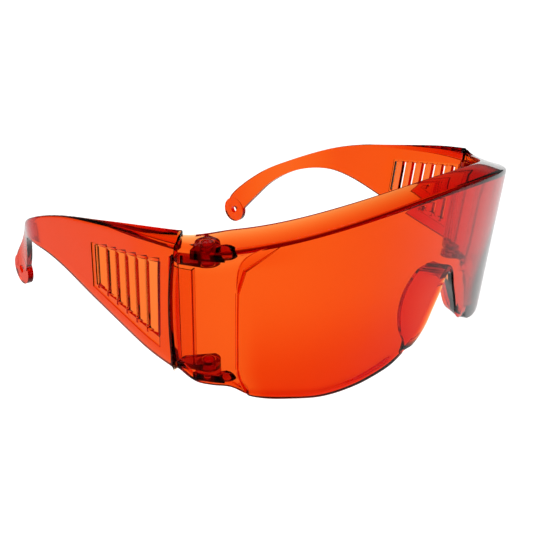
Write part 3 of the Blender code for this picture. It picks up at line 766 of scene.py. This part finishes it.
def flange_outline(flange):
    """(inset, share of the blade's height, lift) round the top of a section, from outside to inside."""
    reach = between(TEMPLE_WALL, FLANGE_IN, flange)
    rise = between(TOP_ROUND, FLANGE_UP, flange)
    lip = min(LIP_WALL * min(flange * LIP_FADE, 1.0), LIP_SHARE * (reach - TEMPLE_WALL))
    corners = (
        (reach - FLANGE_CHAMFER, FLANGE_TOP_CORNER),
        (reach, FLANGE_INNER_CORNER),
        (reach, LIP_OUTER_FOOT),
        (reach - lip, LIP_INNER_FOOT),
        (reach - lip, FLANGE_UNDERSIDE),
        (TEMPLE_WALL, BLADE_INNER_CORNER),
    )
    outline = [(inset, 1.0, lift) for inset, lift in TOP_CORNER]
    for across, share in RIDGE:
        inset = between(FLANGE_TOP_START, reach - FLANGE_TOP_END, across)
        lift = between(TOP_ROUND, rise, across) + RIDGE_HEIGHT * flange * share
        outline.append((inset, 1.0, lift))
    outline += [(inset, 1.0, between(*heights, flange)) for inset, heights in corners]
    return outline


def temple_section(u):
    """One closed section of the temple: blade, ridged top flange and its lip."""
    lower = spline(TEMPLE_LOWER_EDGE, u)
    upper = spline(TEMPLE_UPPER_EDGE, u)
    along = (upper.x - FLANGE_START_Y) / (FLANGE_END_Y - FLANGE_START_Y)
    flange = (1.0 - min(max(along, 0.0), 1.0)) ** FLANGE_FADE
    outline = [(BLADE_EDGE_BEVEL, 0.0, BLADE_EDGE_BEVEL), (0.0, 0.0, BLADE_EDGE_ROUND)]
    outline += [(0.0, t, 0.0) for t in OUTER_BLADE_ROWS]
    outline += flange_outline(flange)
    outline += [(TEMPLE_WALL, t, 0.0) for t in INNER_BLADE_ROWS]
    outline += [(TEMPLE_WALL, 0.0, BLADE_EDGE_ROUND), (TEMPLE_WALL - BLADE_EDGE_BEVEL, 0.0, BLADE_EDGE_BEVEL)]
    placed = []
    for inset, t, lift in outline:
        y = between(lower.x, upper.x, t)
        z = between(lower.y, upper.y, t) + lift
        y = max(y, joint_y(z, inset) + JOINT_TO_LAST_Y * u) if u else joint_y(z, inset)
        placed.append(Vector((temple_x(y, z) - inset, y, z)))
    return placed


def vent_line(t, across):
    """(y, z) in the vent at t of its height from the top and across slats from its front."""
    place = across / LOUVRE_COUNT
    top = between(*VENT_TOP, place)
    bottom = between(*VENT_BOTTOM, place)
    z = between(top, bottom, t)
    return VENT_FRONT_Y + across * LOUVRE_PITCH + VENT_LEAN * (top - z), z


def louvre_outline(index):
    """(distance from the vent's front, depth) round a slat seen from above, with rounded corners."""
    turn = math.radians(LOUVRE_TURN)
    along = Vector((math.cos(turn), math.sin(turn)))
    thick = Vector((-along.y, along.x)) * LOUVRE_WALL
    start = index * LOUVRE_PITCH + LOUVRE_START
    depth = -LOUVRE_LENGTH * along.y - LOUVRE_WALL * along.x - LOUVRE_SUNK
    front = Vector((start, depth))
    rear = front + along * LOUVRE_LENGTH
    corners = [front, rear, rear + thick, front + thick]
    rounded = []
    for k, corner in enumerate(corners):
        before = (corners[k - 1] - corner).normalized() * LOUVRE_ROUND
        after = (corners[(k + 1) % 4] - corner).normalized() * LOUVRE_ROUND
        rounded += [corner + before, corner + after]
    return rounded


def louvre_body(index):
    """One slanting slat of the vent. Its rear edge stands further out than its front edge."""
    outline = louvre_outline(index)
    sections = []
    for t in LOUVRE_ROWS:
        section = []
        for place, depth in outline:
            y, z = vent_line(t, place / LOUVRE_PITCH)
            section.append(Vector((temple_x(y, z) + depth, y, z)))
        sections.append(section)
    return closed_loft(sections)


def vent_opening():
    """Cutter for the vent's opening, with a step in its lower edge at each slat."""
    rear = LOUVRE_COUNT + VENT_REAR_GAP
    outline = [vent_line(0.0, 0.0), vent_line(0.0, rear), vent_line(1.0, rear)]
    for index in reversed(range(LOUVRE_COUNT)):
        rear_y, rear_z = vent_line(1.0, index + 1)
        front_y, front_z = vent_line(1.0, index)
        outline += [(rear_y, rear_z - VENT_STEP_REAR), (front_y + VENT_STEP_RUN, front_z + VENT_STEP_FRONT)]
    return closed_loft([[Vector((x, y, z)) for y, z in outline] for x in VENT_CUTTER_X])


def vent_recess():
    """Cutter for the shallow recess in the blade's outer face round the vent."""
    sections = []
    for step in range(RECESS_STEPS + 1):
        across = between(*RECESS_SPAN, step / RECESS_STEPS)
        inner = []
        outer = []
        for t in RECESS_ROWS:
            y, z = vent_line(t, across)
            inner.append(Vector((temple_x(y, z) - RECESS_DEPTH, y, z)))
            outer.append(Vector((temple_x(y, z) + RECESS_CUTTER, y, z)))
        sections.append(inner + outer[::-1])
    return closed_loft(sections)


def post_body():
    """Post that stiffens the temple's front edge between its arms."""
    lower, lower_side = HINGE_LEVELS["lower"]
    upper, upper_side = HINGE_LEVELS["upper"]
    bottom = lower + lower_side * (LUG_HEIGHT + LUG_GAP) + POST_SHORT
    top = upper + upper_side * (LUG_HEIGHT + LUG_GAP) + LUG_HEIGHT - POST_SHORT
    middle = (bottom + top) / 2
    y = joint_y(middle)
    x = temple_x(y, middle)
    return hinge_prism([Vector((x + dx, y + dy, middle)) for dx, dy in POST_PROFILE], bottom, top)


def edge_shade_strip_body():
    """Dark strip inside the temple's front edge, painted shade where the plastic is seen edge on and looks
    nearly black.
    """
    first, last = EDGE_STRIP_DEPTH
    front = EDGE_STRIP_START
    rear = EDGE_STRIP_END
    corners = ((first, front), (last, front), (last, rear), (first, rear))
    sections = []
    for step in range(EDGE_STRIP_STEPS + 1):
        z = between(*EDGE_STRIP_Z, step / EDGE_STRIP_STEPS)
        y = joint_y(z)
        x = temple_x(y, z)
        sections.append([Vector((x - inset, y + back, z)) for inset, back in corners])
    return closed_loft(sections)


def tongue_body():
    """Tongue that lies inside the side panel when the temple is open."""
    low, high = TONGUE_Z
    middle = (low + high) / 2
    face = WALL + TONGUE_GAP
    outer = []
    inner = []
    for share, wall in TONGUE_STATIONS:
        angle = JOINT_ANGLE - TONGUE_REACH * share
        outer.append(lens_point(angle, middle, face))
        inner.append(lens_point(angle, middle, face + wall))
    y = joint_y(middle) + TONGUE_ROOT_BACK
    x = temple_x(joint_y(middle), middle)
    root = [Vector((x - inset, y, middle)) for inset in (face, TONGUE_ROOT_IN)]
    return hinge_prism(outer[::-1] + root + inner, low, high)


def make_temple(hand, side, material, shade_strip_material):
    """Temple shell with blade, flange, vent, post, tongue and ear hook, and a dark strip of painted shade in
    its front edge.
    """
    sections = [temple_section(step / TEMPLE_COLUMNS) for step in range(TEMPLE_COLUMNS + 1)]
    obj = new_piece("temple_shell_" + hand, closed_loft(sections), side)
    y, z = PADDLE_CENTRE
    lean = (temple_x(y + 1.0, z) - temple_x(y - 1.0, z)) / 2.0
    normal = Vector((1.0, -lean, 0.0)).normalized()
    centre = Vector((temple_x(y, z), y, z)) - normal * TEMPLE_WALL / 2
    shapes = [
        (cylinder(PADDLE_RADIUS, centre, normal, PADDLE_WALL, PADDLE_SIDES), "UNION"),
        (post_body(), "UNION"),
        (tongue_body(), "UNION"),
        (vent_recess(), "DIFFERENCE"),
        (vent_opening(), "DIFFERENCE"),
    ]
    shapes += [(louvre_body(index), "UNION") for index in range(LOUVRE_COUNT)]
    hole = cylinder(CORD_HOLE_RADIUS, centre, normal, CORD_CUTTER_LENGTH, CORD_HOLE_SIDES)
    shapes.append((hole, "DIFFERENCE"))
    tools = [(new_piece("tool_%d" % k, bm, side), operation) for k, (bm, operation) in enumerate(shapes)]
    combine(obj, tools)
    finish_piece(obj, hand + "_temple", ["temple_" + hand], material)
    # dark strip of painted shade, where the plastic is seen edge on
    strip = new_piece("temple_edge_shade_" + hand, edge_shade_strip_body(), side)
    finish_piece(strip, hand + "_temple", [], shade_strip_material)


# ---------------------------------------------------------------- materials


def tinted_plastic(name, absorb, ior, haze_scale, roughness):
    """Clear plastic that takes its colour from the way that light goes through it, with haze and ripple."""
    material = bpy.data.materials.new(name)
    material.use_nodes = True
    tree = material.node_tree
    shader = tree.nodes["Principled BSDF"]
    shader.inputs["Transmission Weight"].default_value = 1.0
    shader.inputs["IOR"].default_value = ior
    shader.inputs["Specular Tint"].default_value = (0.0, 0.0, 0.0, 1.0)
    place = tree.nodes.new("ShaderNodeTexCoord")
    haze = tree.nodes.new("ShaderNodeTexNoise")
    haze.inputs["Scale"].default_value = haze_scale
    haze.inputs["Detail"].default_value = HAZE_DETAIL
    tree.links.new(place.outputs["Object"], haze.inputs["Vector"])
    rough = tree.nodes.new("ShaderNodeMapRange")
    rough.inputs["From Min"].default_value = HAZE_RANGE[0]
    rough.inputs["From Max"].default_value = HAZE_RANGE[1]
    rough.inputs["To Min"].default_value = roughness
    rough.inputs["To Max"].default_value = roughness * HAZE_ROUGHENS
    tree.links.new(haze.outputs["Fac"], rough.inputs["Value"])
    tree.links.new(rough.outputs["Result"], shader.inputs["Roughness"])
    clear = tree.nodes.new("ShaderNodeMapRange")
    clear.inputs["To Min"].default_value = HAZE_DARKEST
    tree.links.new(haze.outputs["Fac"], clear.inputs["Value"])
    tree.links.new(clear.outputs["Result"], shader.inputs["Base Color"])
    ripple = tree.nodes.new("ShaderNodeTexNoise")
    ripple.inputs["Scale"].default_value = RIPPLE_SCALE
    tree.links.new(place.outputs["Object"], ripple.inputs["Vector"])
    bump = tree.nodes.new("ShaderNodeBump")
    bump.inputs["Strength"].default_value = RIPPLE_STRENGTH
    bump.inputs["Distance"].default_value = RIPPLE_DEPTH
    tree.links.new(ripple.outputs["Fac"], bump.inputs["Height"])
    tree.links.new(bump.outputs["Normal"], shader.inputs["Normal"])
    volume = tree.nodes.new("ShaderNodeVolumeAbsorption")
    volume.inputs["Color"].default_value = (*absorb, 1.0)
    volume.inputs["Density"].default_value = TINT_DENSITY
    tree.links.new(volume.outputs["Volume"], tree.nodes["Material Output"].inputs["Volume"])
    return material


def dimmed(tree, level, reflected):
    """Node that gives level, or the reflected one in what shiny surfaces mirror."""
    path = tree.nodes.new("ShaderNodeLightPath")
    mirrored = tree.nodes.new("ShaderNodeMath")
    mirrored.operation = "MULTIPLY"
    tree.links.new(path.outputs["Is Reflection Ray"], mirrored.inputs[0])
    tree.links.new(path.outputs["Is Glossy Ray"], mirrored.inputs[1])
    choice = tree.nodes.new("ShaderNodeMapRange")
    choice.inputs["To Min"].default_value = level
    choice.inputs["To Max"].default_value = reflected
    tree.links.new(mirrored.outputs["Value"], choice.inputs["Value"])
    return choice


def floor_material():
    """Pale, evenly lit floor that looks dimmer in reflections, most of all towards -X."""
    material = bpy.data.materials.new("pale_floor")
    material.use_nodes = True
    tree = material.node_tree
    shader = tree.nodes["Principled BSDF"]
    shader.inputs["Base Color"].default_value = (FLOOR_GREY, FLOOR_GREY, FLOOR_GREY, 1.0)
    shader.inputs["Roughness"].default_value = FLOOR_ROUGHNESS
    shader.inputs["Specular IOR Level"].default_value = 0.0
    shader.inputs["Emission Color"].default_value = (1.0, 1.0, 1.0, 1.0)
    choice = dimmed(tree, FLOOR_GLOW, REFLECTED_GLOW[0])
    tree.links.new(choice.outputs["Result"], shader.inputs["Emission Strength"])
    place = tree.nodes.new("ShaderNodeTexCoord")
    split = tree.nodes.new("ShaderNodeSeparateXYZ")
    across = tree.nodes.new("ShaderNodeMapRange")
    across.inputs["From Min"].default_value = -REFLECTED_EDGE
    across.inputs["From Max"].default_value = REFLECTED_EDGE
    across.inputs["To Min"].default_value = REFLECTED_GLOW[0]
    across.inputs["To Max"].default_value = REFLECTED_GLOW[1]
    tree.links.new(place.outputs["Object"], split.inputs["Vector"])
    tree.links.new(split.outputs["X"], across.inputs["Value"])
    tree.links.new(across.outputs["Result"], choice.inputs["To Max"])
    return material


# ---------------------------------------------------------------- stage


def make_floor():
    """Wide round floor under the glasses."""
    bm = bmesh.new()
    bmesh.ops.create_circle(bm, cap_ends=True, segments=FLOOR_SIDES, radius=FLOOR_RADIUS)
    mesh = bpy.data.meshes.new("floor")
    bm.to_mesh(mesh)
    bm.free()
    mesh.materials.append(floor_material())
    floor = bpy.data.objects.new("floor", mesh)
    floor.location = (0.0, 0.0, -FLOOR_DROP)
    bpy.context.scene.collection.objects.link(floor)


def area_light(name, place, size):
    """Round soft light that shines at the glasses."""
    data = bpy.data.lights.new(name, "AREA")
    data.shape = "DISK"
    data.size = size
    data.energy = LIGHT_POWER
    light = bpy.data.objects.new(name, data)
    light.location = place
    light.rotation_mode = "QUATERNION"
    light.rotation_quaternion = (Vector(LIGHT_AIM) - Vector(place)).to_track_quat("-Z", "Y")
    bpy.context.scene.collection.objects.link(light)


def make_light():
    """Two lights, and white surroundings with a darker band above that the camera sees as plain white."""
    world = bpy.data.worlds.new("studio")
    bpy.context.scene.world = world
    world.use_nodes = True
    tree = world.node_tree
    background = tree.nodes["Background"]
    place = tree.nodes.new("ShaderNodeTexCoord")
    split = tree.nodes.new("ShaderNodeSeparateXYZ")
    ramp = tree.nodes.new("ShaderNodeValToRGB")
    ramp.color_ramp.elements.remove(ramp.color_ramp.elements[1])
    ramp.color_ramp.elements[0].color = (1.0, 1.0, 1.0, 1.0)
    for height, level in SKY:
        stop = ramp.color_ramp.elements.new(height)
        stop.color = (level, level, level, 1.0)
    tree.links.new(place.outputs["Generated"], split.inputs["Vector"])
    tree.links.new(split.outputs["Z"], ramp.inputs["Fac"])
    path = tree.nodes.new("ShaderNodeLightPath")
    seen = tree.nodes.new("ShaderNodeMath")
    seen.operation = "MAXIMUM"
    tree.links.new(ramp.outputs["Color"], seen.inputs[0])
    tree.links.new(path.outputs["Is Camera Ray"], seen.inputs[1])
    tree.links.new(seen.outputs["Value"], background.inputs["Color"])
    choice = dimmed(tree, WORLD_STRENGTH, REFLECTED_SKY)
    tree.links.new(choice.outputs["Result"], background.inputs["Strength"])
    area_light("key", KEY_PLACE, KEY_SIZE)
    area_light("fill", FILL_PLACE, FILL_SIZE)


def make_camera():
    """Camera in front of the wearer's right side, looking down a little."""
    data = bpy.data.cameras.new("camera")
    data.sensor_width = CAMERA_SENSOR
    data.lens = CAMERA_LENS
    data.clip_start, data.clip_end = CAMERA_CLIP
    camera = bpy.data.objects.new("camera", data)
    turn = Matrix((CAMERA_RIGHT, CAMERA_UP, CAMERA_BACK)).transposed().to_4x4()
    camera.matrix_world = Matrix.Translation(CAMERA_PLACE) @ turn
    bpy.context.scene.collection.objects.link(camera)
    bpy.context.scene.camera = camera


make_camera()
make_light()
make_floor()
bpy.context.scene.view_settings.view_transform = "Standard"

lens_plastic = tinted_plastic("lens_plastic", TINT, SHELL_IOR, haze_scale=30.0, roughness=0.02)
temple_plastic = tinted_plastic("temple_plastic", TINT, SHELL_IOR, haze_scale=40.0, roughness=0.03)
# painted shade: a darker copy of the tint for the thick hinge lugs and arms
hinge_shaded_plastic = tinted_plastic("hinge_shaded_plastic", HINGE_SHADE_TINT, HINGE_IOR, haze_scale=120.0, roughness=0.05)
# painted shade: near-black plastic for the strip in the temples' front edges
edge_shade_plastic = tinted_plastic("edge_shade_plastic", EDGE_SHADE_TINT, SMALL_PART_IOR, haze_scale=200.0, roughness=0.05)
pin_plastic = tinted_plastic("pin_plastic", TINT, SMALL_PART_IOR, haze_scale=300.0, roughness=0.1)

make_front(lens_plastic)
make_temple("left", 1.0, temple_plastic, edge_shade_plastic)
make_temple("right", -1.0, temple_plastic, edge_shade_plastic)
make_hinges(hinge_shaded_plastic, pin_plastic)
